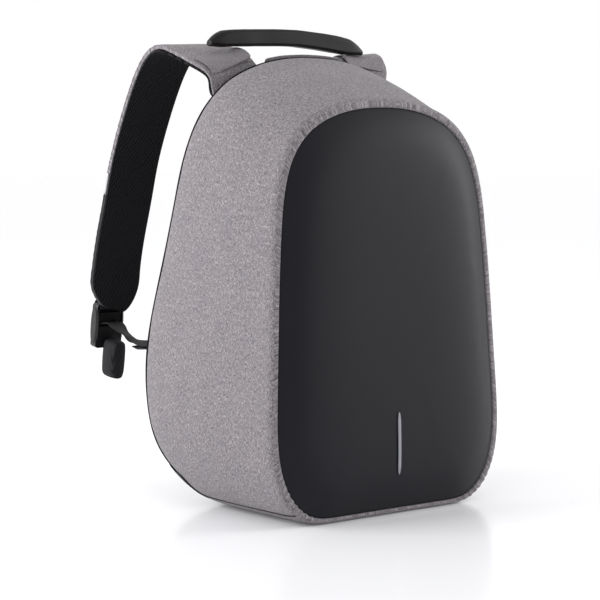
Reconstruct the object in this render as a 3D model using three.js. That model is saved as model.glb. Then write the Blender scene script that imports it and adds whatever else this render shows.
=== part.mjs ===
// An anti theft backpack that stands on its own base, in millimetres.
// X runs across the bag, Y from its front panel to the wearer's back, and Z up.
// The origin is the middle of the flat underside.
import * as THREE from "three";

// Driving dimensions of the body
const bodyHeight = 458; // ground to the top of the back seam
const frontHeight = 415; // ground to the top of the front seam
const bodyWidth = 317; // across the fullest section
const seamWidth = 297.5; // across the front seam
const bodyDepth = 208; // foot of the front seam to the most rearward point of the back seam
const standSetback = 82; // foot of the front seam to the origin
const frontLean = 18.5; // how far back the front seam leans over its height
const bodyWall = 4; // padded cloth of the gusset
const baseWall = 6; // the thicker padding of the base
const seamGap = 0.3; // clearance between pieces that are sewn or seated on each other

// Front border and panel
const borderWidth = 8; // rolled edging on the sides and top
const borderFoot = 4.5; // the same edging under the panel
const borderRoll = 4.2; // how far the edging stands ahead of the seam
const panelSheet = 2.6; // thickness of the front panel
const panelLip = 3; // how far the panel's edge stands ahead of the seam
const panelBulge = 15; // how far the panel's middle stands ahead of its edge
const panelFlatness = 8; // the higher, the flatter its middle and the rounder its rim
const stripWidth = 3.4; // reflective strip
const stripLength = 61;
const stripSheet = 0.8;
const stripBase = 43; // ground to the strip's lower end

// Base and back
const rearStripSheet = 1.2; // black strip under the back edge of the base
const rearStripClear = 0.75; // strip to base, over the curve of the corner
const padEdge = 1.6; // back panel's thickness at its seam
const padCrown = 5.5; // and in its middle
const padInset = 0.8; // back panel's edge to the edge of the gusset
const padSeat = 0.8; // back panel to the gusset's edge
const yokeSheet = 3.6;
const yokeHalf = 50; // middle of the yoke to where a strap starts

// Shoulder straps
const strapWidth = 57;
const strapCloth = 5; // padded cloth on the outer side
const strapMesh = 3.2; // spacer mesh on the wearer's side
const strapEase = 1.4; // how far the edges of both layers are eased
const strapSpacing = 200; // centre to centre where they hang
const strapRootSpacing = 158; // centre to centre where they are sewn on
const strapRootDrop = 38; // top of the body to the lower end of a strap's seam
const strapRootStandoff = 2.6; // room for the swell of the back panel under a strap's seam
const strapReach = 198; // root to end of the left strap, along Y
const strapFall = 233; // root to end of the left strap, along Z
const strapEndRound = 26; // length over which a strap's end is rounded
const strapEndSkew = 7; // how much further the inner edge of a strap's end reaches
const tabLength = 22;
const tabSheet = 2;
const tabPlace = 0.66; // tab's middle, as a share of the strap's length
const tabRim = 0.6; // strap cloth left bare on each side of the tab

// Carry handle
const handleSpan = 200;
const handleHeight = 17.5; // section, top to bottom
const handleDepth = 15; // section, front to back
const handleRise = 5.5; // line between the handle's ends to its crest
const handleSetback = 31; // top of the back seam to the handle's middle plane
const handleShift = -3; // the handle leans towards the left strap
const patchSheet = 1.4; // patch on each strap that a handle end is sewn to
const patchClear = 1; // patch to strap, over the strap's bend
const patchLength = 26;
const patchWidth = 50;

// Strap hardware
const webbingWidth = 25;
const webbingSheet = 1.6;
const lockOverlap = 5; // how far the ladder lock reaches up behind the strap's end
const lockInset = 1; // strap's middle line to the lock's, towards the middle of the bag
const lockLean = 8; // degrees that the hanging lock leans back
const loopRise = 4; // lock's top to the top of its webbing loop
const lockWidth = 34;
const lockLength = 50;
const lockDepth = 10;
const lockCorner = 4;
const lockSlot = 6; // height of a slot in the ladder lock
const lockBar = 4.5; // height of its upper bar
const lockSlotPlace = 0.48; // second slot's lower edge, as a share of lockLength
const webbingDrop = 9; // lower webbing's fall from the lock to the body
const webbingSeat = 0.9; // where it is sewn on, as a share of the back panel's half width
const bundleLength = 41;
const bundleDepth = 20; // the webbing lies edge-on in it, along Y
const bundleOverlap = 11; // how far the bundle reaches up in front of the lock
const webbingTwist = 25; // degrees at the middle of the lower webbing
const webbingTurn = 0.14; // length over which it turns, as a share of its span
const webbingTuck = 0.2; // how deep the webbing's tip sits in the slot, as a share of lockDepth
const webbingFlat = 1.2; // untwisted end of the lower webbing, as a share of its tab's length
const anchorTabLength = 42;
const anchorTabSag = 6.5; // where the tab starts
const anchorTabEase = 4; // and halfway along it

// Half of the body's outline from the middle of the base over the side to the middle of the top.
// out: share of the section's half width, up: share of the section's height.
const outlineRows = [
  { out: 0.0, up: 0.0 },
  { out: 0.3, up: 0.0 },
  { out: 0.6, up: 0.0 },
  { out: 0.76, up: 0.016 },
  { out: 0.88, up: 0.054 },
  { out: 0.955, up: 0.105 },
  { out: 0.992, up: 0.165 },
  { out: 1.0, up: 0.235 },
  { out: 0.987, up: 0.335 },
  { out: 0.968, up: 0.46 },
  { out: 0.948, up: 0.58 },
  { out: 0.922, up: 0.69 },
  { out: 0.886, up: 0.79 },
  { out: 0.806, up: 0.876 },
  { out: 0.66, up: 0.939 },
  { out: 0.46, up: 0.9765 },
  { out: 0.23, up: 0.9955 },
  { out: 0.0, up: 1.0 },
];

// Sag of the lower webbing between the ladder lock and the seam. share: share of the span.
const webbingSagRows = [
  { share: 0.35, sag: 3 },
  { share: 0.6, sag: 4 },
  { share: 0.78, sag: 2 },
];

// Sections of the body from the front seam to the back seam.
// along: share of the way back, full: share of the widening from seamWidth to bodyWidth,
// top: share of the rise from frontHeight to bodyHeight, lift: underside over bodyHeight.
const sectionRows = [
  { along: 0.0, full: 0.0, top: 0.0, lift: 0.0033 },
  { along: 0.08, full: 0.18, top: 0.1, lift: 0.0 },
  { along: 0.25, full: 0.5, top: 0.31, lift: 0.0 },
  { along: 0.5, full: 0.86, top: 0.6, lift: 0.0 },
  { along: 0.78, full: 1.0, top: 0.86, lift: 0.0 },
  { along: 0.88, full: 0.96, top: 0.945, lift: 0.0045 },
  { along: 0.95, full: 0.82, top: 0.985, lift: 0.013 },
  { along: 1.0, full: 0.56, top: 1.0, lift: 0.024 },
];

// Side view of the back seam. up: share of bodyHeight, back: share of bodyDepth.
const backRows = [
  { up: 0.0, back: 0.79 },
  { up: 0.055, back: 0.86 },
  { up: 0.13, back: 0.94 },
  { up: 0.22, back: 0.982 },
  { up: 0.31, back: 1.0 },
  { up: 0.4, back: 0.98 },
  { up: 0.48, back: 0.931 },
  { up: 0.57, back: 0.872 },
  { up: 0.66, back: 0.823 },
  { up: 0.75, back: 0.783 },
  { up: 0.84, back: 0.734 },
  { up: 0.92, back: 0.685 },
  { up: 1.0, back: 0.645 },
];

// Routes of the two straps from the seam on the back panel, seen from the side.
// reach: share of strapReach, fall: share of strapFall below the root (negative is above it),
// part: share of the way from strapRootSpacing to strapSpacing, roll: degrees of sideways tilt.
const leftStrapRows = [
  { reach: 0.0, fall: 0.0, part: 0.0, roll: 36 },
  { reach: -0.004, fall: -0.075, part: 0.1, roll: 34 },
  { reach: 0.025, fall: -0.125, part: 0.28, roll: 22 },
  { reach: 0.105, fall: -0.152, part: 0.6, roll: 10 },
  { reach: 0.22, fall: -0.184, part: 0.88, roll: 5 },
  { reach: 0.34, fall: -0.203, part: 1.0, roll: 1 },
  { reach: 0.44, fall: -0.168, part: 1.0, roll: 0 },
  { reach: 0.512, fall: -0.108, part: 1.0, roll: 0 },
  { reach: 0.57, fall: -0.04, part: 1.0, roll: 0 },
  { reach: 0.67, fall: 0.105, part: 1.0, roll: 0 },
  { reach: 0.78, fall: 0.3, part: 1.0, roll: 0 },
  { reach: 0.86, fall: 0.506, part: 1.0, roll: 0 },
  { reach: 0.935, fall: 0.695, part: 1.0, roll: 0 },
  { reach: 0.98, fall: 0.85, part: 1.0, roll: 0 },
  { reach: 1.0, fall: 1.0, part: 1.0, roll: 0 },
];
const rightStrapRows = [
  { reach: 0.0, fall: 0.0, part: 0.36, roll: 30 },
  { reach: -0.004, fall: -0.075, part: 0.44, roll: 26 },
  { reach: 0.02, fall: -0.12, part: 0.56, roll: 17 },
  { reach: 0.08, fall: -0.15, part: 0.76, roll: 8 },
  { reach: 0.15, fall: -0.148, part: 0.9, roll: 4 },
  { reach: 0.215, fall: -0.092, part: 1.0, roll: 2 },
  { reach: 0.28, fall: 0.0, part: 1.0, roll: 0 },
  { reach: 0.36, fall: 0.14, part: 1.0, roll: 0 },
  { reach: 0.46, fall: 0.34, part: 1.0, roll: 0 },
  { reach: 0.56, fall: 0.57, part: 1.0, roll: 0 },
  { reach: 0.65, fall: 0.8, part: 1.0, roll: 0 },
  { reach: 0.7, fall: 1.03, part: 1.0, roll: 0 },
  { reach: 0.72, fall: 1.2, part: 1.0, roll: 0 },
];

// The handle from the left to the right. across: share of handleSpan from its middle,
// arch: share of handleRise above the line between its ends, high: share of handleHeight,
// deep: share of handleDepth.
const handleRows = [
  { across: -0.5, arch: 0.0, high: 0.34, deep: 0.55 },
  { across: -0.475, arch: 0.08, high: 0.62, deep: 0.8 },
  { across: -0.42, arch: 0.36, high: 0.86, deep: 0.95 },
  { across: -0.27, arch: 0.68, high: 0.98, deep: 1.0 },
  { across: -0.05, arch: 1.0, high: 1.0, deep: 1.0 },
  { across: 0.08, arch: 1.02, high: 1.0, deep: 1.0 },
  { across: 0.28, arch: 0.8, high: 1.0, deep: 1.0 },
  { across: 0.42, arch: 0.42, high: 0.82, deep: 0.95 },
  { across: 0.475, arch: 0.14, high: 0.52, deep: 0.8 },
  { across: 0.5, arch: 0.0, high: 0.3, deep: 0.5 },
];

// Mesh fineness
const gussetColumns = 48;
const bodyBands = 12;
const ringColumns = 50;
const strapBands = 21;
const handleBands = 16;
const webbingBands = 16;

// Place of the hem between gusset and base, as a share of the way round the outline.
const hemTurn = 0.097;
const rearStripTurn = 0.125;
const rearStripStart = 0.885;

// Materials
const melangeGrey = { color: 0x8e8a90, roughness: 0.95, metalness: 0 };
const panelBlack = { color: 0x33353b, roughness: 0.5, metalness: 0 };
const clothBlack = { color: 0x15151a, roughness: 0.9, metalness: 0 };
const plasticBlack = { color: 0x1b1b1e, roughness: 0.45, metalness: 0 };
const lightStrip = { color: 0xc4c6c8, roughness: 0.35, metalness: 0.2 };

// A smooth value from a table: column y over column x, through every row.
function fromRows(rows, x, y, at) {
  let i = 0;
  while (i < rows.length - 2 && rows[i + 1][x] < at) i += 1;
  const slope = (a, b) => (rows[b][y] - rows[a][y]) / (rows[b][x] - rows[a][x]);
  const first = slope(Math.max(i - 1, 0), i + 1);
  const last = slope(i, Math.min(i + 2, rows.length - 1));
  const span = rows[i + 1][x] - rows[i][x];
  const t = (at - rows[i][x]) / span;
  const rise = rows[i + 1][y] - rows[i][y];
  const bend = (first * span - rise) * (1 - t) + (rise - last * span) * t;
  return rows[i][y] + rise * t + t * (1 - t) * bend;
}

// The whole outline as a closed curve: turn 0 is the middle of the base, 0.5 the middle of the top.
const outlineCurve = new THREE.CatmullRomCurve3(
  [
    ...outlineRows.map((row) => new THREE.Vector3((row.out * bodyWidth) / 2, 0, row.up * bodyHeight)),
    ...outlineRows
      .slice(1, -1)
      .reverse()
      .map((row) => new THREE.Vector3((-row.out * bodyWidth) / 2, 0, row.up * bodyHeight)),
  ],
  true,
  "centripetal",
);

function outlineAt(turn) {
  const point = outlineCurve.getPoint(((turn % 1) + 1) % 1);
  return { out: (2 * point.x) / bodyWidth, up: Math.max(0, point.z / bodyHeight) };
}

function frontY(z) {
  return -standSetback + (frontLean * z) / frontHeight;
}

function backY(z) {
  return -standSetback + bodyDepth * fromRows(backRows, "up", "back", Math.min(1, z / bodyHeight));
}

// A point on the body's outer surface.
function skinPoint(along, turn) {
  const { out, up } = outlineAt(turn);
  const full = fromRows(sectionRows, "along", "full", along);
  const half = (seamWidth + (bodyWidth - seamWidth) * full) / 2;
  const top = frontHeight + (bodyHeight - frontHeight) * fromRows(sectionRows, "along", "top", along);
  const low = Math.max(0, bodyHeight * fromRows(sectionRows, "along", "lift", along));
  const z = low + (top - low) * up;
  return new THREE.Vector3(half * out, frontY(z) + (backY(z) - frontY(z)) * along, z);
}

// The same point moved straight out of the surface, or inwards where raise is negative.
function bodyPoint(along, turn, raise = 0) {
  const step = 1e-3;
  const a = Math.min(1 - step, Math.max(step, along));
  const back = skinPoint(a + step, turn).sub(skinPoint(a - step, turn));
  const round = skinPoint(a, turn + step).sub(skinPoint(a, turn - step));
  const normal = back.cross(round).normalize();
  return skinPoint(along, turn).addScaledVector(normal, raise);
}

// A closed mesh from points and faces, turned so that it encloses a positive volume.
function closedGeometry(points, faces) {
  const volume = faces.reduce(
    (sum, [a, b, c]) => sum + points[a].dot(points[b].clone().cross(points[c])),
    0,
  );
  const geometry = new THREE.BufferGeometry();
  geometry.setAttribute(
    "position",
    new THREE.Float32BufferAttribute(points.flatMap((p) => p.toArray()), 3),
  );
  geometry.setIndex(faces.flatMap(([a, b, c]) => (volume < 0 ? [a, c, b] : [a, b, c])));
  geometry.computeVertexNormals();
  return geometry;
}

// A sheet with thickness: two grids of the same size, face to face, joined along their four edges.
function sheetGeometry(bands, columns, outer, inner) {
  const points = [];
  const faces = [];
  for (const side of [outer, inner])
    for (let i = 0; i <= bands; i += 1)
      for (let j = 0; j <= columns; j += 1) points.push(side(i / bands, j / columns));
  const at = (side, i, j) => (side * (bands + 1) + i) * (columns + 1) + j;
  const quad = (a, b, c, d) => faces.push([a, b, c], [a, c, d]);
  for (let i = 0; i < bands; i += 1)
    for (let j = 0; j < columns; j += 1) {
      quad(at(0, i, j), at(0, i + 1, j), at(0, i + 1, j + 1), at(0, i, j + 1));
      quad(at(1, i, j), at(1, i, j + 1), at(1, i + 1, j + 1), at(1, i + 1, j));
    }
  for (let j = 0; j < columns; j += 1) {
    quad(at(0, 0, j), at(0, 0, j + 1), at(1, 0, j + 1), at(1, 0, j));
    quad(at(0, bands, j), at(1, bands, j), at(1, bands, j + 1), at(0, bands, j + 1));
  }
  for (let i = 0; i < bands; i += 1) {
    quad(at(0, i, 0), at(1, i, 0), at(1, i + 1, 0), at(0, i + 1, 0));
    quad(at(0, i, columns), at(0, i + 1, columns), at(1, i + 1, columns), at(1, i, columns));
  }
  return closedGeometry(points, faces);
}

// A dished plate: rings of points that shrink to a middle point, on two faces, joined round the rim.
function plateGeometry(rings, columns, face, reverse) {
  const points = [];
  const faces = [];
  for (const side of [face, reverse]) {
    for (const ring of rings)
      for (let j = 0; j < columns; j += 1) points.push(side(ring, j / columns));
    points.push(side(0, 0));
  }
  const sideSize = rings.length * columns + 1;
  const at = (side, i, j) => side * sideSize + i * columns + (j % columns);
  for (const side of [0, 1])
    for (let j = 0; j < columns; j += 1) {
      for (let i = 0; i < rings.length - 1; i += 1) {
        const corners = [at(side, i, j), at(side, i, j + 1), at(side, i + 1, j + 1), at(side, i + 1, j)];
        if (side) corners.reverse();
        faces.push([corners[0], corners[1], corners[2]], [corners[0], corners[2], corners[3]]);
      }
      const last = rings.length - 1;
      const middle = side * sideSize + sideSize - 1;
      const edge = [at(side, last, j), at(side, last, j + 1)];
      if (side) edge.reverse();
      faces.push([...edge, middle]);
    }
  for (let j = 0; j < columns; j += 1) {
    faces.push([at(0, 0, j + 1), at(0, 0, j), at(1, 0, j)]);
    faces.push([at(0, 0, j + 1), at(1, 0, j), at(1, 0, j + 1)]);
  }
  return closedGeometry(points, faces);
}

// A closed ring swept from a section that changes on the way round.
function ringGeometry(columns, sides, section) {
  const points = [];
  const faces = [];
  for (let i = 0; i < columns; i += 1)
    for (let k = 0; k < sides; k += 1) points.push(section(i / columns, k));
  const at = (i, k) => (i % columns) * sides + (k % sides);
  for (let i = 0; i < columns; i += 1)
    for (let k = 0; k < sides; k += 1) {
      faces.push([at(i, k), at(i + 1, k), at(i + 1, k + 1)]);
      faces.push([at(i, k), at(i + 1, k + 1), at(i, k + 1)]);
    }
  return closedGeometry(points, faces);
}

// A bar through a row of sections, each a loop of as many points, with flat ends.
function barGeometry(sections) {
  const sides = sections[0].length;
  const points = sections.flat();
  const faces = [];
  const at = (i, k) => i * sides + (k % sides);
  for (let i = 0; i < sections.length - 1; i += 1)
    for (let k = 0; k < sides; k += 1) {
      faces.push([at(i, k), at(i + 1, k), at(i + 1, k + 1)]);
      faces.push([at(i, k), at(i + 1, k + 1), at(i, k + 1)]);
    }
  const middleOf = (loop) =>
    loop.reduce((sum, p) => sum.add(p), new THREE.Vector3()).divideScalar(sides);
  const first = points.push(middleOf(sections[0])) - 1;
  const last = points.push(middleOf(sections[sections.length - 1])) - 1;
  for (let k = 0; k < sides; k += 1) {
    faces.push([at(0, k), at(0, k + 1), first]);
    faces.push([at(sections.length - 1, k + 1), at(sections.length - 1, k), last]);
  }
  return closedGeometry(points, faces);
}

// A flat section with eased corners: across is half its width, from low to high its thickness.
function flatLoop(across, low, high) {
  const ease = Math.min((high - low) * 0.4, across * 0.4);
  return [
    [-across, low + ease],
    [-across + ease, low],
    [across - ease, low],
    [across, low + ease],
    [across, high - ease],
    [across - ease, high],
    [-across + ease, high],
    [-across, high - ease],
  ];
}

// A flat strip along a curve, its width level but for the twist in degrees at each share of its length.
function stripGeometry(curve, bands, halfWidth, halfSheet, twist) {
  const upright = new THREE.Vector3(0, 0, 1);
  const sections = [];
  for (let i = 0; i <= bands; i += 1) {
    const centre = curve.getPointAt(i / bands);
    const along = curve.getTangentAt(i / bands);
    const side = along.clone().cross(upright).normalize();
    side.applyAxisAngle(along, (twist(i / bands) * Math.PI) / 180);
    const up = side.clone().cross(along).normalize();
    sections.push(
      flatLoop(halfWidth, -halfSheet, halfSheet).map(([u, v]) =>
        centre.clone().addScaledVector(side, u).addScaledVector(up, v),
      ),
    );
  }
  return barGeometry(sections);
}

function named(name, geometry, finish) {
  const mesh = new THREE.Mesh(geometry, new THREE.MeshStandardMaterial(finish));
  mesh.name = name;
  return mesh;
}

// Millimetres of outline for one whole turn, measured at the hem.
const hemStep = 1e-3;
const hemPace = skinPoint(0.5, hemTurn).distanceTo(skinPoint(0.5, hemTurn + hemStep)) / hemStep;
const hemGapTurn = seamGap / hemPace;

function gusset() {
  const start = hemTurn + hemGapTurn;
  const sweep = 1 - 2 * start;
  const skin = (raise) => (along, share) => bodyPoint(along, start + sweep * share, raise);
  const geometry = sheetGeometry(bodyBands, gussetColumns, skin(0), skin(-bodyWall));
  return named("gusset", geometry, melangeGrey);
}

function basePanel() {
  const columns = 16;
  const skin = (raise) => (along, share) => bodyPoint(along, hemTurn * (2 * share - 1), raise);
  const geometry = sheetGeometry(bodyBands, columns, skin(0), skin(-baseWall));
  return named("base_panel", geometry, melangeGrey);
}

function rearBaseStrip() {
  const bands = 4;
  const columns = 24;
  const skin = (raise) => (along, share) =>
    bodyPoint(
      rearStripStart + (1 - rearStripStart) * along,
      rearStripTurn * (2 * share - 1),
      raise,
    );
  const outer = skin(rearStripClear + rearStripSheet);
  const geometry = sheetGeometry(bands, columns, outer, skin(rearStripClear));
  return named("rear_base_strip", geometry, clothBlack);
}

// The front panel's edge, seen from the front, and the plate inside it.
const panelLow = bodyHeight * sectionRows[0].lift + borderFoot;
const panelTop = frontHeight - borderWidth;
const panelHalf = seamWidth / 2 - borderWidth;
const panelMiddle = panelLow + (panelTop - panelLow) * 0.45;

function panelPoint(ring, turn, raise, grow = 0) {
  const { out, up } = outlineAt(turn);
  const edgeX = (panelHalf + grow) * out;
  const edgeZ = panelLow - grow + (panelTop - panelLow + 2 * grow) * up;
  const z = panelMiddle + (edgeZ - panelMiddle) * ring;
  const bulge = panelBulge * (1 - ring ** panelFlatness);
  return new THREE.Vector3(edgeX * ring, frontY(z) - panelLip - bulge - raise, z);
}

function frontPanel() {
  const rings = [1, 0.98, 0.94, 0.88, 0.78, 0.55, 0.25];
  const geometry = plateGeometry(
    rings,
    ringColumns,
    (ring, turn) => panelPoint(ring, turn, 0),
    (ring, turn) => panelPoint(ring, turn, -panelSheet),
  );
  return named("front_panel", geometry, panelBlack);
}

// Section of the rolled edging. across: share of its width from the panel outwards,
// ahead: share of borderRoll.
const borderSection = [
  { across: 0, ahead: 0 },
  { across: 0, ahead: 0.8 },
  { across: 0.25, ahead: 1.02 },
  { across: 0.55, ahead: 1.0 },
  { across: 0.85, ahead: 0.72 },
  { across: 1, ahead: 0.3 },
  { across: 1, ahead: 0 },
];

function frontBorder() {
  const section = (turn, k) => {
    const { across, ahead } = borderSection[k];
    const inner = panelPoint(1, turn, 0, seamGap);
    const point = inner.lerp(skinPoint(0, turn), across);
    point.y = frontY(point.z) - seamGap - (borderRoll - seamGap) * ahead;
    return point;
  };
  const geometry = ringGeometry(ringColumns, borderSection.length, section);
  return named("front_border", geometry, melangeGrey);
}

// The strip lies on the middle line of the panel, below its middle point.
function reflectiveStrip() {
  const bands = 10;
  const point = (raise) => (share, side) => {
    const z = stripBase + stripLength * share;
    const ring = (panelMiddle - z) / (panelMiddle - panelLow);
    const end = Math.min(share, 1 - share) * stripLength;
    const half = (stripWidth / 2) * Math.min(1, Math.sqrt((end + stripWidth / 10) / (stripWidth / 2)));
    const spot = panelPoint(ring, 0, seamGap + raise);
    return new THREE.Vector3(half * (2 * side - 1), spot.y, z);
  };
  const geometry = sheetGeometry(bands, 2, point(stripSheet), point(0));
  return named("reflective_strip", geometry, lightStrip);
}

// The back panel's surface: ring 1 is its seam, 0 its middle.
const padLow = bodyHeight * sectionRows[sectionRows.length - 1].lift + padInset;
const padTop = bodyHeight - padInset;
const padHalf = skinPoint(1, 7 / (2 * (outlineRows.length - 1))).x - padInset;
const padMiddle = padLow + (padTop - padLow) * 0.45;

function padPoint(ring, turn, thickness) {
  const { out, up } = outlineAt(turn);
  const edgeZ = padLow + (padTop - padLow) * up;
  const z = padMiddle + (edgeZ - padMiddle) * ring;
  return new THREE.Vector3(padHalf * out * ring, backY(z) + padSeat + thickness, z);
}

function padThickness(ring) {
  return padEdge + (padCrown - padEdge) * Math.max(0, 1 - ring * ring) ** 0.6;
}

function backPanel() {
  const rings = [1, 0.96, 0.85, 0.65, 0.35];
  const geometry = plateGeometry(
    rings,
    ringColumns,
    (ring, turn) => padPoint(ring, turn, padThickness(ring)),
    (ring, turn) => padPoint(ring, turn, 0),
  );
  return named("back_panel", geometry, clothBlack);
}

// Share of the way round the outline at which the top arch reaches a given distance from the middle.
function archTurn(x) {
  let low = 0.25;
  let high = 0.5;
  for (let pass = 0; pass < 40; pass += 1) {
    const turn = (low + high) / 2;
    if (padHalf * outlineAt(turn).out > x) low = turn;
    else high = turn;
  }
  return low;
}

function yoke() {
  const bands = 5;
  const columns = 16;
  const start = archTurn(yokeHalf);
  const ringTop = 1.014;
  const ringLow = 0.9;
  const face = (raise) => (down, share) => {
    const ring = ringTop + (ringLow - ringTop) * down;
    const turn = start + (1 - 2 * start) * share;
    return padPoint(ring, turn, padThickness(Math.min(1, ring)) + seamGap + raise);
  };
  const geometry = sheetGeometry(bands, columns, face(yokeSheet), face(0));
  return named("yoke", geometry, melangeGrey);
}

// A strap's centre line, where its cloth and its mesh meet.
const strapRootZ = bodyHeight - strapRootDrop;
const strapRootY = backY(strapRootZ) + padSeat + padEdge + strapCloth + strapRootStandoff;

function strapCurve(rows, side) {
  const spread = (row) => strapRootSpacing + (strapSpacing - strapRootSpacing) * row.part;
  return new THREE.CatmullRomCurve3(
    rows.map(
      (row) =>
        new THREE.Vector3(
          (side * spread(row)) / 2,
          strapRootY + strapReach * row.reach,
          strapRootZ - strapFall * row.fall,
        ),
    ),
  );
}

function strapRoll(rows, t) {
  const at = t * (rows.length - 1);
  const i = Math.min(rows.length - 2, Math.floor(at));
  const roll = rows[i].roll + (rows[i + 1].roll - rows[i].roll) * (at - i);
  return (roll * Math.PI) / 180;
}

// Section of one strap layer, from the face where the layers meet to its outer face. The points across
// that face are the same for both layers, so that they stay apart where the strap twists.
function strapLoop(half, meet, outer) {
  const eased = strapEase * Math.sign(outer - meet);
  return [
    [-half, meet + eased],
    [-half + strapEase, meet],
    [-half / 2, meet],
    [0, meet],
    [half / 2, meet],
    [half - strapEase, meet],
    [half, meet + eased],
    [half, outer - eased],
    [half - strapEase, outer],
    [0, outer],
    [-half + strapEase, outer],
    [-half, outer - eased],
  ];
}

// Place and directions at a share of a strap's length: sideways, along it, and out of its cloth side.
function strapFrame(rows, side, share) {
  const curve = strapCurve(rows, side);
  const t = curve.getUtoTmapping(share);
  const along = curve.getTangent(t);
  const roll = strapRoll(rows, t);
  const out = new THREE.Vector3(side * Math.cos(roll), 0, -Math.sin(roll));
  out.addScaledVector(along, -out.dot(along)).normalize();
  const up = out.clone().cross(along).multiplyScalar(side).normalize();
  return { centre: curve.getPoint(t), along, out, up };
}

function strapLayer(rows, side, half, meet, outer) {
  const length = strapCurve(rows, side).getLength();
  const sections = [];
  for (let i = 0; i <= strapBands; i += 1) {
    const share = i / strapBands;
    const { centre, along, out, up } = strapFrame(rows, side, share);
    const near = Math.max(0, 1 - ((1 - share) * length) / strapEndRound);
    const width = half * Math.sqrt(1 - 0.72 * near * near);
    const skew = strapEndSkew * near;
    sections.push(
      strapLoop(width, meet, outer).map(([u, v]) =>
        centre
          .clone()
          .addScaledVector(out, u)
          .addScaledVector(up, v)
          .addScaledVector(along, (-skew * u) / half),
      ),
    );
  }
  return barGeometry(sections);
}

function straps() {
  const meshes = [];
  for (const [name, side, rows] of [
    ["left", -1, leftStrapRows],
    ["right", 1, rightStrapRows],
  ]) {
    const cloth = strapLayer(rows, side, strapWidth / 2, seamGap / 2, strapCloth);
    meshes.push(named("strap_" + name, cloth, melangeGrey));
    const mesh = strapLayer(rows, side, strapWidth / 2, -seamGap / 2, -strapMesh);
    meshes.push(named("strap_mesh_" + name, mesh, clothBlack));
  }
  return meshes;
}

// The patch that lies on a strap where it passes under the handle's end.
const handleY = backY(bodyHeight) + handleSetback;

function handlePatch(name, side, rows) {
  const curve = strapCurve(rows, side);
  const length = curve.getLength();
  let middle = 0;
  while (curve.getPointAt(middle).y < handleY) middle += 1e-3;
  const grid = (raise) => (share, across) => {
    const frame = strapFrame(rows, side, middle + ((share - 0.5) * patchLength) / length);
    const u = (across - 0.5) * patchWidth;
    const point = frame.centre.clone().addScaledVector(frame.out, u);
    return point.addScaledVector(frame.up, strapCloth + raise);
  };
  const geometry = sheetGeometry(5, 6, grid(patchClear + patchSheet), grid(patchClear));
  return named("handle_patch_" + name, geometry, melangeGrey);
}

const patches = [handlePatch("left", -1, leftStrapRows), handlePatch("right", 1, rightStrapRows)];

// The height from which the handle's arch clears every point of a patch below it.
function seatOver(patch) {
  const spots = patch.geometry.getAttribute("position");
  let seat = -Infinity;
  for (let i = 0; i < spots.count; i += 1) {
    const across = (spots.getX(i) - handleShift) / handleSpan;
    const under = Math.abs(across) < 0.5 && Math.abs(spots.getY(i) - handleY) < handleDepth * 0.6;
    if (!under) continue;
    seat = Math.max(seat, spots.getZ(i) - handleRise * fromRows(handleRows, "across", "arch", across));
  }
  return seat;
}

const leftSeat = seatOver(patches[0]);
const rightSeat = seatOver(patches[1]);

function carryHandle() {
  const sides = 10;
  const sections = [];
  for (let i = 0; i <= handleBands; i += 1) {
    const across = -0.5 * Math.cos((Math.PI * i) / handleBands);
    const high = handleHeight * fromRows(handleRows, "across", "high", across);
    const deep = handleDepth * fromRows(handleRows, "across", "deep", across);
    const seat = leftSeat + (rightSeat - leftSeat) * (across + 0.5) + 2 * seamGap;
    const z = seat + high / 2 + handleRise * fromRows(handleRows, "across", "arch", across);
    const loop = [];
    for (let k = 0; k < sides; k += 1) {
      const angle = (2 * Math.PI * (k + 0.5)) / sides;
      const y = handleY + (deep / 2) * Math.cos(angle);
      loop.push(new THREE.Vector3(handleShift + handleSpan * across, y, z + (high / 2) * Math.sin(angle)));
    }
    sections.push(loop);
  }
  return named("carry_handle", barGeometry(sections), clothBlack);
}

// Ladder lock: a plate with two slots, its top at z 0, centred on y 0.
const slotBases = [lockLength - lockBar - lockSlot, lockLength * lockSlotPlace];

function lockGeometry() {
  const plate = new THREE.Shape();
  const half = lockWidth / 2;
  const inner = half - lockCorner;
  const top = lockLength - lockCorner;
  plate.moveTo(-inner, 0);
  plate.absarc(inner, lockCorner, lockCorner, -Math.PI / 2, 0, false);
  plate.absarc(inner, top, lockCorner, 0, Math.PI / 2, false);
  plate.absarc(-inner, top, lockCorner, Math.PI / 2, Math.PI, false);
  plate.absarc(-inner, lockCorner, lockCorner, Math.PI, 1.5 * Math.PI, false);
  const slotHalf = webbingWidth / 2 + 1;
  for (const base of slotBases) {
    const hole = new THREE.Path();
    hole.moveTo(-slotHalf, base);
    hole.lineTo(-slotHalf, base + lockSlot);
    hole.lineTo(slotHalf, base + lockSlot);
    hole.lineTo(slotHalf, base);
    hole.closePath();
    plate.holes.push(hole);
  }
  const options = { depth: lockDepth, bevelEnabled: false, curveSegments: 4 };
  const lock = new THREE.ExtrudeGeometry(plate, options);
  return lock.rotateX(Math.PI / 2).translate(0, lockDepth / 2, -lockLength);
}

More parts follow.
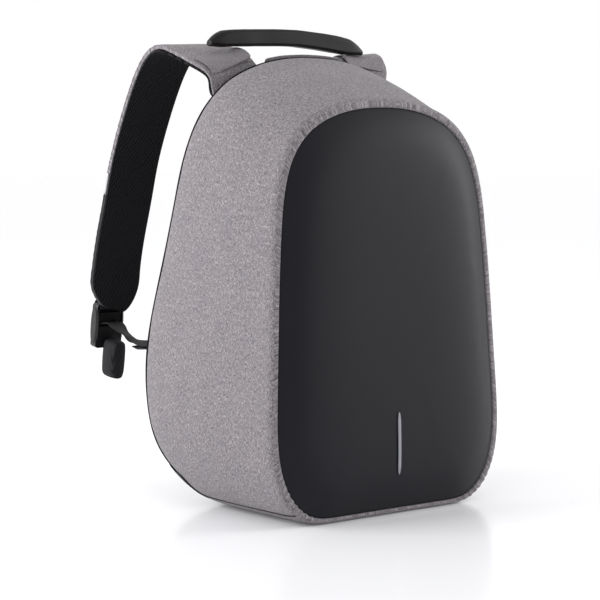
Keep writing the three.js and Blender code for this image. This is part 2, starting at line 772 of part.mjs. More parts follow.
// Webbing loop round the lock's upper bar, its front leg sewn to the strap's cloth.
function loopGeometry() {
  const half = webbingSheet / 2;
  const legOut = lockDepth / 2 + seamGap + half;
  const under = -lockBar - seamGap - half;
  const turn = webbingSheet * 0.6;
  const corners = [
    [-legOut, loopRise, -1, 0],
    [-legOut, under + turn, -1, -0.4],
    [-legOut + turn, under, -0.4, -1],
    [legOut - turn, under, 0.4, -1],
    [legOut, under + turn, 1, -0.4],
    [legOut, loopRise, 1, 0],
  ];
  const width = webbingWidth / 2;
  const sections = corners.map(([y, z, ny, nz]) => [
    new THREE.Vector3(-width, y - ny * half, z - nz * half),
    new THREE.Vector3(width, y - ny * half, z - nz * half),
    new THREE.Vector3(width, y + ny * half, z + nz * half),
    new THREE.Vector3(-width, y + ny * half, z + nz * half),
  ]);
  return barGeometry(sections);
}

// Folded free end of the webbing in front of the lock. down: share of bundleLength,
// fill: share of bundleDepth.
const bundleRows = [
  { down: 0, fill: 0.55 },
  { down: 0.06, fill: 0.85 },
  { down: 0.2, fill: 1 },
  { down: 0.75, fill: 1 },
  { down: 0.93, fill: 0.86 },
  { down: 1, fill: 0.55 },
];

function bundleGeometry() {
  const middle = -lockDepth / 2 - seamGap - webbingWidth / 2;
  const top = bundleOverlap - lockLength;
  const sections = bundleRows.map(({ down, fill }) =>
    flatLoop(webbingWidth / 2, (-bundleDepth / 2) * fill, (bundleDepth / 2) * fill).map(
      ([u, v]) => new THREE.Vector3(v, middle + u, top - bundleLength * down),
    ),
  );
  return barGeometry(sections);
}

// The hardware that hangs below a strap's end, and the webbing from it to the body.
function hardware(name, side, rows) {
  const end = strapCurve(rows, side).getPoint(1);
  const lean = (lockLean * Math.PI) / 180;
  const place = new THREE.Matrix4()
    .makeRotationX(lean)
    .setPosition(
      end.x - side * lockInset,
      end.y + strapCloth + 4 * seamGap + webbingSheet + lockDepth / 2,
      end.z + lockOverlap,
    );
  const meshes = [
    named("ladder_lock_" + name, lockGeometry().applyMatrix4(place), plasticBlack),
    named("lock_loop_" + name, loopGeometry().applyMatrix4(place), clothBlack),
    named("webbing_bundle_" + name, bundleGeometry().applyMatrix4(place), clothBlack),
  ];

  const slotZ = slotBases[1] - lockLength + lockSlot / 2;
  const tip = new THREE.Vector3(0, lockDepth * webbingTuck, slotZ).applyMatrix4(place);
  const anchorZ = tip.z - webbingDrop;
  const seamX = padHalf * webbingSeat;
  const innerEdge = (seamX - webbingWidth / 2) / padHalf;
  const seamY = backY(anchorZ) + padThickness(innerEdge) + 3 * seamGap;
  const root = new THREE.Vector3(side * seamX, seamY, anchorZ);
  const span = root.clone().sub(tip);
  const onRoute = (share, sag) => {
    const point = tip.clone().addScaledVector(span, share);
    point.z -= sag;
    return point;
  };
  const behind = (point, distance) => point.clone().add(new THREE.Vector3(0, distance, 0));
  const lower = new THREE.CatmullRomCurve3([
    tip,
    behind(tip, -webbingWidth / 2),
    ...webbingSagRows.map(({ share, sag }) => onRoute(share, sag)),
    behind(root, webbingWidth / 2),
    root,
  ]);
  const half = webbingSheet / 2;
  const tabShare = anchorTabLength / span.length();
  const free = 1 - webbingFlat * tabShare;
  const start = lockDepth / span.length();
  const twist = (share) => {
    const turned = THREE.MathUtils.smoothstep(share, start, start + webbingTurn);
    const back = THREE.MathUtils.smoothstep(share, free - webbingTurn, free);
    return side * webbingTwist * turned * (1 - back);
  };
  const lowerStrip = stripGeometry(lower, webbingBands, webbingWidth / 2, half, twist);
  meshes.push(named("lower_webbing_" + name, lowerStrip, clothBlack));

  const below = new THREE.Vector3(0, 0, -webbingSheet - 3 * seamGap);
  const tabCurve = new THREE.CatmullRomCurve3([
    onRoute(1 - tabShare, anchorTabSag),
    onRoute(1 - tabShare / 2, anchorTabEase).add(below),
    behind(root, webbingWidth / 2).add(below),
    root.clone().add(below),
  ]);
  const tab = stripGeometry(tabCurve, webbingBands / 2, webbingWidth / 2, half, () => 0);
  meshes.push(named("webbing_anchor_" + name, tab, clothBlack));
  return meshes;
}

function strapTab() {
  const curve = strapCurve(leftStrapRows, -1);
  const bands = 3;
  const length = curve.getLength();
  const outer = strapWidth / 2 + seamGap;
  const tab = (raise) => (share, across) => {
    const at = tabPlace + ((share - 0.5) * tabLength) / length;
    const centre = curve.getPointAt(at);
    const along = curve.getTangentAt(at);
    const side = new THREE.Vector3(-1, 0, 0);
    const up = side.clone().cross(along).multiplyScalar(-1).normalize();
    const rise = tabRim + (strapCloth - 2 * tabRim) * across;
    return centre.addScaledVector(side, outer + raise).addScaledVector(up, rise);
  };
  return named("strap_tab_left", sheetGeometry(bands, 1, tab(tabSheet), tab(0)), lightStrip);
}

const backpack = new THREE.Group();
backpack.add(gusset(), basePanel(), rearBaseStrip());
backpack.add(frontBorder(), frontPanel(), reflectiveStrip());
backpack.add(backPanel(), yoke(), ...straps(), strapTab());
backpack.add(...patches, carryHandle());
backpack.add(...hardware("left", -1, leftStrapRows));
backpack.add(...hardware("right", 1, rightStrapRows));

export default backpack;
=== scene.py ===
"""Looks of the standing anti theft backpack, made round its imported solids.

Lengths are in metres, in the solids' frame: X across the bag, Y from its front panel to the
wearer's back, Z up from the floor.
"""

import math

import bmesh
import bpy
import numpy as np
from mathutils import Matrix, Vector, noise
from mathutils.kdtree import KDTree


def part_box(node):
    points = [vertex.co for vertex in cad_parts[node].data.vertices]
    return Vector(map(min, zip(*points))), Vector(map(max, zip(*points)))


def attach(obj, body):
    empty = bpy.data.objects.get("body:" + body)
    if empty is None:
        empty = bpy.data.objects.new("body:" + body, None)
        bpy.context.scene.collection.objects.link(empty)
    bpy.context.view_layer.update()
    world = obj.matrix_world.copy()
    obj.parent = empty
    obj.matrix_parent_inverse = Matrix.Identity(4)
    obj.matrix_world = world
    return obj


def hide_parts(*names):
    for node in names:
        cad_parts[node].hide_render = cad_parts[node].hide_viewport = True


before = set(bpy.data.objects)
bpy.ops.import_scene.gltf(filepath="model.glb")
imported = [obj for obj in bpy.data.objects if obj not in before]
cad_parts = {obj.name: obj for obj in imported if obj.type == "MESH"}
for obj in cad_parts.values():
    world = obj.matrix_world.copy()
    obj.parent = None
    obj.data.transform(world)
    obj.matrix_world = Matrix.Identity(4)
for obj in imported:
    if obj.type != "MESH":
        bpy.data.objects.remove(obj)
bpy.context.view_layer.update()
MM = 0.001

# Camera, solved from the photograph
CAMERA_PLACE = Vector((-1.35377, -1.66811, 0.41667))
CAMERA_LOOK = Vector((0.6128, 0.7844, -0.0958))
CAMERA_LENS = 126.0
CAMERA_SENSOR = 36.0
SURROUND_LIGHT = 1.0

# Driving sizes of the dressing
MERGE_GAP = 0.01 * MM
QUAD_ANGLE = math.radians(60)
SEAM_PUCKER = 0.45 * MM
CLOTH_SWELL = 0.7 * MM
STITCH_PITCH = 4.2 * MM
STITCH_LENGTH = 2.9 * MM
STITCH_RADIUS = 0.38 * MM
SEAM_RADIUS = 0.6 * MM
SEAM_REACH = 1.6 * MM
PAD_SEAM = 16 * MM
BINDING_DRAW = 0.9 * MM
CHEEK_DEPTH = 14 * MM
CHEEK_HEIGHT = 44 * MM
CHEEK_SHEET = 2.6 * MM
LOCK_LEAN = math.radians(8)

# Places that several pieces read
BODY_MIDDLE = 0.23  # height of the point that the body's outline runs round
STRAP_MIDDLE = (0.13, 0.25)  # Y and Z of the point that a strap's arch runs round
HANDLE_SQUARE = 1.22  # how much the handle's section is filled out towards a box

# Rise of the handle over its solid, in mm, at shares of its length
HANDLE_BEND = [(0, 3), (0.025, 2.5), (0.08, 1), (0.23, 0), (0.55, -1), (0.67, -2.5), (0.8, -4.2), (0.88, -4.6), (1, -2.5)]


def lo_hi(node):
    """A node's lowest and highest corners."""
    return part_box(node)


def node_mesh(node, name):
    """A new mesh with a node's shape, its doubles merged and its triangles paired to quads."""
    source = bmesh.new()
    source.from_mesh(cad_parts[node].data)
    bmesh.ops.remove_doubles(source, verts=source.verts, dist=MERGE_GAP)
    bmesh.ops.join_triangles(
        source, faces=source.faces, angle_face_threshold=QUAD_ANGLE, angle_shape_threshold=math.pi
    )
    mesh = bpy.data.meshes.new(name)
    source.to_mesh(mesh)
    source.free()
    return mesh


def new_object(mesh, name):
    """An object with this mesh, linked to the scene."""
    piece = bpy.data.objects.new(name, mesh)
    bpy.context.scene.collection.objects.link(piece)
    return piece


def corners(mesh):
    """The places of a mesh's points as an array."""
    places = np.zeros(len(mesh.vertices) * 3)
    mesh.vertices.foreach_get("co", places)
    return places.reshape(-1, 3)


def point_normals(mesh):
    """The directions out of a mesh's surface at its points."""
    directions = np.zeros(len(mesh.vertices) * 3, np.float32)
    mesh.vertex_normals.foreach_get("vector", directions)
    return directions.reshape(-1, 3).astype(float)


def set_corners(mesh, places):
    """Moves a mesh's points to these places."""
    mesh.vertices.foreach_set("co", np.asarray(places, np.float32).ravel())
    mesh.update()


def rounded_mesh(piece, levels):
    """The mesh that a piece has after rounding it by subdivision."""
    modifier = piece.modifiers.new("round", "SUBSURF")
    modifier.levels = levels
    modifier.render_levels = levels
    depsgraph = bpy.context.evaluated_depsgraph_get()
    mesh = bpy.data.meshes.new_from_object(piece.evaluated_get(depsgraph))
    piece.modifiers.clear()
    return mesh


def round_off(piece, levels, hold=1.0):
    """Rounds a piece by subdivision, and keeps its surface on the solid's own points."""
    base = corners(piece.data)
    if hold:
        limit = corners(rounded_mesh(piece, 2))[: len(base)]
        set_corners(piece.data, base + hold * (base - limit))
    piece.data = rounded_mesh(piece, levels)
    for face in piece.data.polygons:
        face.use_smooth = True


def soft_copy(node, name, levels, hold=1.0):
    """A rounded piece that stands for a node."""
    piece = new_object(node_mesh(node, name), name)
    round_off(piece, levels, hold)
    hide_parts(node)
    return piece


def shifted(mesh, distance):
    """Moves each point along its own direction by the distance that the function gives for its place."""
    places = corners(mesh)
    directions = point_normals(mesh)
    lengths = np.array([distance(place, direction) for place, direction in zip(places, directions)])
    set_corners(mesh, places + directions * lengths[:, None])


def swell(mesh, size, height, seed=0.0):
    """Soft unevenness of padded cloth."""

    def distance(place, _):
        return height * noise.noise(Vector(place) / size + Vector((seed, 0, 0)))

    shifted(mesh, distance)


def crease(mesh, start, end, width, depth):
    """Presses a groove into a surface along a line, or raises a ridge where the depth is negative."""
    a = np.array(start)
    run = np.array(end) - a
    places = corners(mesh)
    share = np.clip((places - a) @ run / (run @ run), 0, 1)
    off = np.linalg.norm(places - a - share[:, None] * run, axis=1)
    press = depth * np.exp(-((off / width) ** 2)) * np.clip(4 * share * (1 - share) + 0.35, 0, 1)
    set_corners(mesh, places - point_normals(mesh) * press[:, None])


def run_along(across, upward, centre):
    """The length travelled round a centre at each point, from the points' own mean route."""
    turn = np.arctan2(across - centre[0], upward - centre[1])
    bins = 160
    edges = np.linspace(turn.min(), turn.max() + 1e-6, bins + 1)
    which = np.clip(np.digitize(turn, edges) - 1, 0, bins - 1)
    used = [k for k in range(bins) if (which == k).any()]
    route = np.array([[across[which == k].mean(), upward[which == k].mean()] for k in used])
    middle = (edges[used] + edges[np.array(used) + 1]) / 2
    steps = np.concatenate([[0], np.cumsum(np.linalg.norm(np.diff(route, axis=0), axis=1))])
    return np.interp(turn, middle, steps)


def lay_weave(piece, across, along):
    """Keeps the cloth's own coordinates on a piece: across the threads and along them, in metres."""
    attribute = piece.data.attributes.new("weave", "FLOAT_VECTOR", "POINT")
    values = np.stack([across, along, np.zeros(len(across))], 1)
    attribute.data.foreach_set("vector", values.astype(np.float32).ravel())


def body_weave(piece):
    """Cloth coordinates that run round the body."""
    places = corners(piece.data)
    run = run_along(places[:, 0], places[:, 2], (0, BODY_MIDDLE))
    lay_weave(piece, places[:, 1], run)


def strap_weave(piece):
    """Cloth coordinates that run along a strap."""
    places = corners(piece.data)
    run = run_along(places[:, 1], places[:, 2], STRAP_MIDDLE)
    lay_weave(piece, places[:, 0], run)


def plain_weave(piece, across, along):
    """Cloth coordinates along two straight directions."""
    places = corners(piece.data)
    lay_weave(piece, places @ np.array(across), places @ np.array(along))


# Materials


class Nodes:
    """Makes one material's nodes, each linked as it is made."""

    def __init__(self, name):
        self.material = bpy.data.materials.new(name)
        self.material.use_nodes = True
        self.tree = self.material.node_tree
        self.tree.nodes.clear()
        self.output = self.tree.nodes.new("ShaderNodeOutputMaterial")
        self.shader = self.tree.nodes.new("ShaderNodeBsdfPrincipled")
        self.join(self.shader.outputs[0], self.output.inputs["Surface"])

    def join(self, start, end):
        self.tree.links.new(start, end)

    def place(self, source, scale):
        """Coordinates of the cloth or of the object, with one scale for each direction."""
        if source == "weave":
            start = self.tree.nodes.new("ShaderNodeAttribute")
            start.attribute_name = "weave"
            out = start.outputs["Vector"]
        else:
            start = self.tree.nodes.new("ShaderNodeTexCoord")
            out = start.outputs["Object"]
        mapping = self.tree.nodes.new("ShaderNodeMapping")
        mapping.inputs["Scale"].default_value = scale
        self.join(out, mapping.inputs["Vector"])
        return mapping.outputs["Vector"]

    def speckle(self, place, detail=2.0, roughness=0.6):
        node = self.tree.nodes.new("ShaderNodeTexNoise")
        node.inputs["Scale"].default_value = 1.0
        node.inputs["Detail"].default_value = detail
        node.inputs["Roughness"].default_value = roughness
        self.join(place, node.inputs["Vector"])
        return node.outputs["Fac"]

    def bands(self, place, direction):
        """Smooth ridges, one for each unit of the coordinate."""
        node = self.tree.nodes.new("ShaderNodeTexWave")
        node.wave_type = "BANDS"
        node.bands_direction = direction
        node.inputs["Scale"].default_value = 1 / math.pi
        node.inputs["Distortion"].default_value = 0.0
        self.join(place, node.inputs["Vector"])
        return node.outputs["Fac"]

    def sum_of(self, first, second, operation="ADD"):
        node = self.tree.nodes.new("ShaderNodeMath")
        node.operation = operation
        for socket, value in zip(node.inputs, (first, second)):
            if isinstance(value, (int, float)):
                socket.default_value = value
            else:
                self.join(value, socket)
        return node.outputs[0]

    def ramp(self, value, stops):
        """Colours over a value from 0 to 1."""
        node = self.tree.nodes.new("ShaderNodeValToRGB")
        ramp = node.color_ramp
        while len(ramp.elements) < len(stops):
            ramp.elements.new(0.5)
        for element, (at, colour) in zip(ramp.elements, stops):
            element.position = at
            element.color = (*colour, 1)
        self.join(value, node.inputs["Fac"])
        return node.outputs["Color"]

    def blend(self, share, first, second, kind="MIX"):
        node = self.tree.nodes.new("ShaderNodeMix")
        node.data_type = "RGBA"
        node.blend_type = kind
        for socket, value in ((node.inputs[0], share), (node.inputs[6], first), (node.inputs[7], second)):
            if isinstance(value, tuple):
                socket.default_value = (*value, 1)
            elif isinstance(value, (int, float)):
                socket.default_value = value
            else:
                self.join(value, socket)
        return node.outputs[2]

    def colour(self, source):
        self.join(source, self.shader.inputs["Base Color"])

    def bump(self, height, distance, strength=1.0):
        node = self.tree.nodes.new("ShaderNodeBump")
        node.inputs["Distance"].default_value = distance
        node.inputs["Strength"].default_value = strength
        self.join(height, node.inputs["Height"])
        self.join(node.outputs[0], self.shader.inputs["Normal"])

    def set(self, **values):
        """Sets the shader's own sockets, named in lower case with underscores."""
        for name, value in values.items():
            socket = self.shader.inputs[name.replace("_", " ").title().replace("Ior", "IOR")]
            socket.default_value = (*value, 1) if isinstance(value, tuple) else value


def melange(name, tone=1.0, cut_height=None):
    """Heathered grey cloth: light and dark fibres that run along the weave. Below cut_height the cloth is black."""
    made = Nodes(name)
    warp = made.speckle(made.place("weave", (1200, 420, 1)), 2.0, 0.6)
    weft = made.speckle(made.place("weave", (430, 1250, 1)), 2.0, 0.6)
    clumps = made.speckle(made.place("weave", (330, 190, 1)), 2.0, 0.6)
    clouds = made.speckle(made.place("weave", (45, 30, 1)), 3.0, 0.6)
    fibres = made.sum_of(made.sum_of(warp, 0.5, "MULTIPLY"), made.sum_of(weft, 0.3, "MULTIPLY"))
    mixed = made.sum_of(fibres, made.sum_of(clumps, 0.2, "MULTIPLY"))
    tones = [
        (0.36, (0.07, 0.062, 0.069)),
        (0.47, (0.185, 0.17, 0.182)),
        (0.54, (0.29, 0.27, 0.283)),
        (0.66, (0.52, 0.5, 0.505)),
    ]
    tones = [(at, tuple(tone * part for part in colour)) for at, colour in tones]
    cloth = made.ramp(mixed, tones)
    shade = made.ramp(clouds, [(0.3, (0.86, 0.85, 0.87)), (0.7, (1.0, 0.985, 0.99))])
    cloth = made.blend(1.0, cloth, shade, "MULTIPLY")
    if cut_height is not None:
        split = made.tree.nodes.new("ShaderNodeSeparateXYZ")
        made.join(made.place("object", (1, 1, 1)), split.inputs[0])
        below = made.sum_of(split.outputs["Z"], cut_height, "LESS_THAN")
        cloth = made.blend(below, cloth, (0.012, 0.012, 0.014))
    made.colour(cloth)
    threads = made.sum_of(
        made.bands(made.place("weave", (1500, 1500, 1)), "X"),
        made.bands(made.place("weave", (1500, 1500, 1)), "Y"),
        "MULTIPLY",
    )
    made.bump(made.sum_of(threads, fibres), 0.35 * MM, 0.5)
    made.set(roughness=0.92, sheen_weight=0.12, sheen_roughness=0.5)
    return made.material


def spacer_mesh(name, pitch=2.4 * MM):
    """Black spacer mesh: ribs along the weave and a lattice of small holes."""
    made = Nodes(name)
    step = 1 / pitch
    ribs = made.bands(made.place("weave", (step, step, 1)), "X")
    rows = made.bands(made.place("weave", (step, step * 0.6, 1)), "DIAGONAL")
    height = made.sum_of(ribs, made.sum_of(rows, 0.8, "MULTIPLY"))
    made.colour(made.ramp(height, [(0.2, (0.001, 0.001, 0.001)), (0.8, (0.004, 0.004, 0.005)), (1.0, (0.016, 0.016, 0.019))]))
    made.bump(height, 0.5 * MM, 0.7)
    made.set(roughness=0.85, specular_ior_level=0.12)
    return made.material


def coated_cloth(name, low, high, roughness, grain=0.09 * MM, gloss=0.5):
    """Smooth coated cloth with a very fine grain."""
    made = Nodes(name)
    fine = made.speckle(made.place("object", (900, 900, 900)), 3.0, 0.6)
    broad = made.speckle(made.place("object", (9, 9, 9)), 2.0, 0.5)
    made.colour(made.blend(broad, low, high))
    made.bump(fine, grain, 0.35)
    made.set(roughness=roughness, specular_ior_level=gloss)
    return made.material


def webbing(name, tone=1.0):
    """Ribbed black webbing."""
    made = Nodes(name)
    ribs = made.bands(made.place("weave", (420, 420, 1)), "Y")
    threads = made.bands(made.place("weave", (900, 900, 1)), "X")
    height = made.sum_of(ribs, made.sum_of(threads, 0.4, "MULTIPLY"))
    dark = (0.003 * tone, 0.003 * tone, 0.004 * tone)
    light = (0.017 * tone, 0.017 * tone, 0.019 * tone)
    made.colour(made.ramp(height, [(0.2, dark), (0.9, light)]))
    made.bump(height, 0.35 * MM, 0.6)
    made.set(roughness=0.7, specular_ior_level=0.15)
    return made.material


def moulded_plastic(name):
    """Black moulded plastic with a fine satin grain."""
    made = Nodes(name)
    fine = made.speckle(made.place("object", (1400, 1400, 1400)), 2.0, 0.5)
    wear = made.speckle(made.place("object", (160, 160, 160)), 3.0, 0.6)
    made.colour(made.ramp(wear, [(0.3, (0.003, 0.003, 0.004)), (0.75, (0.008, 0.008, 0.009))]))
    made.bump(fine, 0.05 * MM, 0.4)
    made.set(roughness=0.4, specular_ior_level=0.4)
    return made.material


def light_tape(name, colour):
    """Light tape with a fine bead texture."""
    made = Nodes(name)
    beads = made.speckle(made.place("object", (2200, 2200, 2200)), 1.0, 0.5)
    deep = tuple(0.78 * part for part in colour)
    made.colour(made.ramp(beads, [(0.35, deep), (0.65, colour)]))
    made.bump(beads, 0.05 * MM, 0.4)
    made.set(roughness=0.4)
    return made.material


def thread(name, colour):
    """Twisted sewing thread."""
    made = Nodes(name)
    twist = made.bands(made.place("object", (2600, 2600, 2600)), "DIAGONAL")
    deep = tuple(0.6 * part for part in colour)
    made.colour(made.ramp(twist, [(0.2, deep), (0.8, colour)]))
    made.set(roughness=0.75)
    return made.material


GREY = melange("melange_grey", 0.78)
# Painted shade: a darker copy of the grey melange, used for the yoke.
GREY_PAINTED_SHADE = melange("melange_grey_shaded", 0.5)
STRAP_GREY = {"left": melange("melange_strap_left", 0.8, 0.313), "right": melange("melange_strap_right", 0.8, 0.285)}
MESH_BLACK = spacer_mesh("spacer_mesh_black")
PAD_BLACK = spacer_mesh("back_mesh_black", 3.0 * MM)
PANEL_BLACK = coated_cloth("panel_anthracite", (0.0015, 0.0015, 0.004), (0.004, 0.004, 0.0075), 0.45, 0.07 * MM, 0.2)
HANDLE_BLACK = coated_cloth("handle_satin_black", (0.003, 0.0025, 0.003), (0.007, 0.0055, 0.006), 0.42, 0.16 * MM, 0.2)
STRIP_BLACK = coated_cloth("base_binding_black", (0.004, 0.004, 0.005), (0.008, 0.008, 0.009), 0.5, 0.09 * MM, 0.2)
SEAM_DARK = coated_cloth("seam_dark", (0.018, 0.017, 0.019), (0.03, 0.028, 0.03), 0.8, 0.09 * MM, 0.1)
WEBBING_BLACK = webbing("webbing_black", 1.2)
PLASTIC_BLACK = moulded_plastic("plastic_black")
TAPE_LIGHT = light_tape("reflective_tape", (0.25, 0.255, 0.285))
TAB_LIGHT = light_tape("tab_light_grey", (0.5, 0.49, 0.5))
THREAD_GREY = thread("thread_grey", (0.2, 0.19, 0.2))
THREAD_BLACK = thread("thread_black", (0.02, 0.02, 0.022))


def finish_piece(piece, material):
    """Gives a piece its material and slot, and fixes it to the bag."""
    piece.data.materials.clear()
    piece.data.materials.append(material)
    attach(piece, "root")
    return piece


# Body


def gusset_cloth():
    piece = soft_copy("gusset", "gusset_cloth", 2)
    body_weave(piece)
    swell(piece.data, 0.07, CLOTH_SWELL)
    swell(piece.data, 0.02, 0.22 * MM, 5.0)
    low, high = lo_hi("gusset")
    heel = high.y - 0.045
    for side in (-1, 1):
        crease(piece.data, (side * 0.153, heel - 0.03, 0.1), (side * 0.14, heel, 0.045), 7 * MM, 0.9 * MM)
        crease(piece.data, (side * 0.157, heel - 0.05, 0.09), (side * 0.145, heel - 0.02, 0.04), 6 * MM, -0.7 * MM)
    finish_piece(piece, GREY)


def base_cloth():
    piece = soft_copy("base_panel", "base_cloth", 2)
    places = corners(piece.data)
    run = np.where(np.abs(places[:, 0]) > 0, places[:, 0], 0)
    lay_weave(piece, places[:, 1], run - places[:, 2])
    finish_piece(piece, GREY)


def border_edging():
    """The rolled edging, puckered a little by its seam, most of all at the lower corners."""
    piece = soft_copy("front_border", "border_edging", 3)
    places = corners(piece.data)
    run = run_along(places[:, 0], places[:, 2], (0, BODY_MIDDLE * 0.9))
    lay_weave(piece, places[:, 1] - places[:, 2] * 0.2, run)
    corner = np.exp(-((np.abs(places[:, 0]) - 0.115) / 0.025) ** 2) * np.exp(-((places[:, 2] - 0.02) / 0.03) ** 2)
    ripple = np.sin(run * math.tau / (7.5 * MM)) + 0.6 * np.sin(run * math.tau / (4.9 * MM) + 1.3)
    height = SEAM_PUCKER * ripple * (0.1 + 1.1 * corner)
    set_corners(piece.data, places + point_normals(piece.data) * height[:, None])
    finish_piece(piece, GREY)


def panel_sheet():
    piece = soft_copy("front_panel", "panel_sheet", 2)
    finish_piece(piece, PANEL_BLACK)


def reflective_tape():
    piece = soft_copy("reflective_strip", "reflective_tape", 2)
    finish_piece(piece, TAPE_LIGHT)


def base_binding():
    piece = soft_copy("rear_base_strip", "base_binding", 2)
    places = corners(piece.data)
    inwards = np.array([0, 0, BODY_MIDDLE]) - places * np.array([1, 0, 1])
    inwards /= np.linalg.norm(inwards, axis=1)[:, None]
    set_corners(piece.data, places + inwards * BINDING_DRAW)
    finish_piece(piece, STRIP_BLACK)


def seam_route(node, neighbour, order, centre, apart):
    """The outer points at which a node meets its neighbour, in order along the seam."""
    own = corners(node_mesh(node, "route"))
    beside = corners(node_mesh(neighbour, "route"))
    tree = KDTree(len(beside))
    for index, place in enumerate(beside):
        tree.insert(place, index)
    tree.balance()
    near = [Vector(place) for place in own if tree.find(place)[2] < SEAM_REACH]
    near.sort(key=order)
    route = []
    for place in near:
        if route and order(place) - order(route[-1]) < apart:
            if (place - centre(place)).length > (route[-1] - centre(route[-1])).length:
                route[-1] = place
        else:
            route.append(place)
    return route


def smooth_route(points, closed, spacing=3 * MM):
    """Closely spaced points on a smooth curve through these points."""
    count = len(points)
    route = []
    for index in range(count if closed else count - 1):
        before, start, end, after = (
            points[place % count] if closed else points[min(max(place, 0), count - 1)]
            for place in range(index - 1, index + 3)
        )
        steps = max(1, round((end - start).length / spacing))
        for step in range(steps):
            t = step / steps
            route.append(
                0.5 * (2 * start + (end - before) * t + (2 * before - 5 * start + 4 * end - after) * t**2
                + (3 * start - before - 3 * end + after) * t**3)
            )
    return route if closed else route + [points[-1]]


def seam_cord(name, route, closed, radius, material):
    """A thin sewn line along a route, as a mesh tube."""
    curve = bpy.data.curves.new(name, "CURVE")
    curve.dimensions = "3D"
    curve.bevel_depth = radius
    curve.bevel_resolution = 1
    curve.use_fill_caps = True
    spline = curve.splines.new("POLY")
    spline.points.add(len(route) - 1)
    for point, place in zip(spline.points, route):
        point.co = (*place, 1)
    spline.use_cyclic_u = closed
    holder = new_object(curve, name + "_curve")
    mesh = bpy.data.meshes.new_from_object(holder.evaluated_get(bpy.context.evaluated_depsgraph_get()))
    bpy.data.objects.remove(holder)
    for face in mesh.polygons:
        face.use_smooth = True
    finish_piece(new_object(mesh, name), material)


def body_seams():
    """Dark sewn lines between the sides and the base."""

    def ring_centre(place):
        return Vector((0, place.y, BODY_MIDDLE))

    for side, name in ((-1, "left"), (1, "right")):
        hem = seam_route("base_panel", "gusset", lambda place: place.y + (place.x * side < 0), ring_centre, 6 * MM)
        hem = [place for place in hem if place.x * side > 0]
        seam_cord("hem_" + name, smooth_route(hem, False), False, SEAM_RADIUS, SEAM_DARK)


def simulated_pad(piece, pressure, cap, held):
    """Blows a pad up a little as cloth, held where the function says, and keeps the move within a cap."""
    before = corners(piece.data)
    group = piece.vertex_groups.new(name="held")
    for index, place in enumerate(before):
        weight = held(place)
        if weight > 0:
            group.add([index], weight, "REPLACE")
    cloth = piece.modifiers.new("cloth", "CLOTH")
    cloth.settings.vertex_group_mass = "held"
    cloth.settings.use_pressure = True
    cloth.settings.uniform_pressure_force = pressure
    cloth.settings.effector_weights.gravity = 0
    cloth.settings.tension_stiffness = 12
    cloth.settings.bending_stiffness = 1.5
    cloth.collision_settings.use_collision = False
    cloth.point_cache.frame_end = 20
    scene = bpy.context.scene
    for step in range(1, 19):
        scene.frame_set(step)
    depsgraph = bpy.context.evaluated_depsgraph_get()
    after = bpy.data.meshes.new_from_object(piece.evaluated_get(depsgraph))
    move = corners(after) - before
    length = np.maximum(np.linalg.norm(move, axis=1), 1e-9)
    move *= (np.minimum(length, cap) / length)[:, None]
    piece.modifiers.clear()
    scene.frame_set(1)
    set_corners(piece.data, before + move)
    piece.vertex_groups.clear()


def back_pad():
    """The padded back: simulated as a stuffed panel, then pressed in along its sewn channels."""
    piece = new_object(node_mesh("back_panel", "back_pad"), "back_pad")
    low, high = lo_hi("back_panel")
    round_off(piece, 3)
    shell = corners(node_mesh("gusset", "shell"))
    tree = KDTree(len(shell))
    for index, place in enumerate(shell):
        tree.insert(place, index)
    tree.balance()

    def held(place):
        return 1.0 if tree.find(place)[2] < PAD_SEAM else 0.0

    simulated_pad(piece, 2.5, 3.0 * MM, held)
    pad = piece.data
    back = high.y
    for side in (-1, 1):
        crease(pad, (side * 0.022, back, 0.07), (side * 0.022, back - 0.07, 0.4), 3.2 * MM, 2.2 * MM)
        crease(pad, (side * 0.115, back, 0.07), (side * 0.095, back - 0.06, 0.35), 3.2 * MM, 2.0 * MM)
    for height in (0.105, 0.165, 0.225, 0.285, 0.345):
        lean = back - 0.012 - max(0, height - 0.16) * 0.24
        for side in (-1, 1):
            crease(pad, (side * 0.03, lean, height), (side * 0.112, lean - 0.002, height + 0.02), 3 * MM, 1.8 * MM)
    places = corners(pad)
    lay_weave(piece, places[:, 0], places[:, 2])
    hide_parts("back_panel")
    finish_piece(piece, PAD_BLACK)


def yoke_cloth():
    piece = soft_copy("yoke", "yoke_cloth", 2)
    plain_weave(piece, (1, 0, 0), (0, 0, 1))
    swell(piece.data, 0.03, 0.4 * MM, 2.0)
    # The yoke's cloth is the grey melange with painted shade.
    finish_piece(piece, GREY_PAINTED_SHADE)


# Straps and handle


def settle_right_root(piece):
    """The right strap's root sinks under the handle's end and swells beyond it."""
    places = corners(piece.data)
    root = np.clip((places[:, 2] - 0.42) / 0.02, 0, 1) * np.clip((0.15 - places[:, 1]) / 0.04, 0, 1)
    inner = np.clip((0.1 - places[:, 0]) / 0.03, 0, 1)
    outer = np.clip((places[:, 0] - 0.1) / 0.02, 0, 1)
    places[:, 2] += MM * root * (3.5 * outer - 4.8 * inner)
    places[:, 0] += MM * root * 3.0 * outer
    set_corners(piece.data, places)


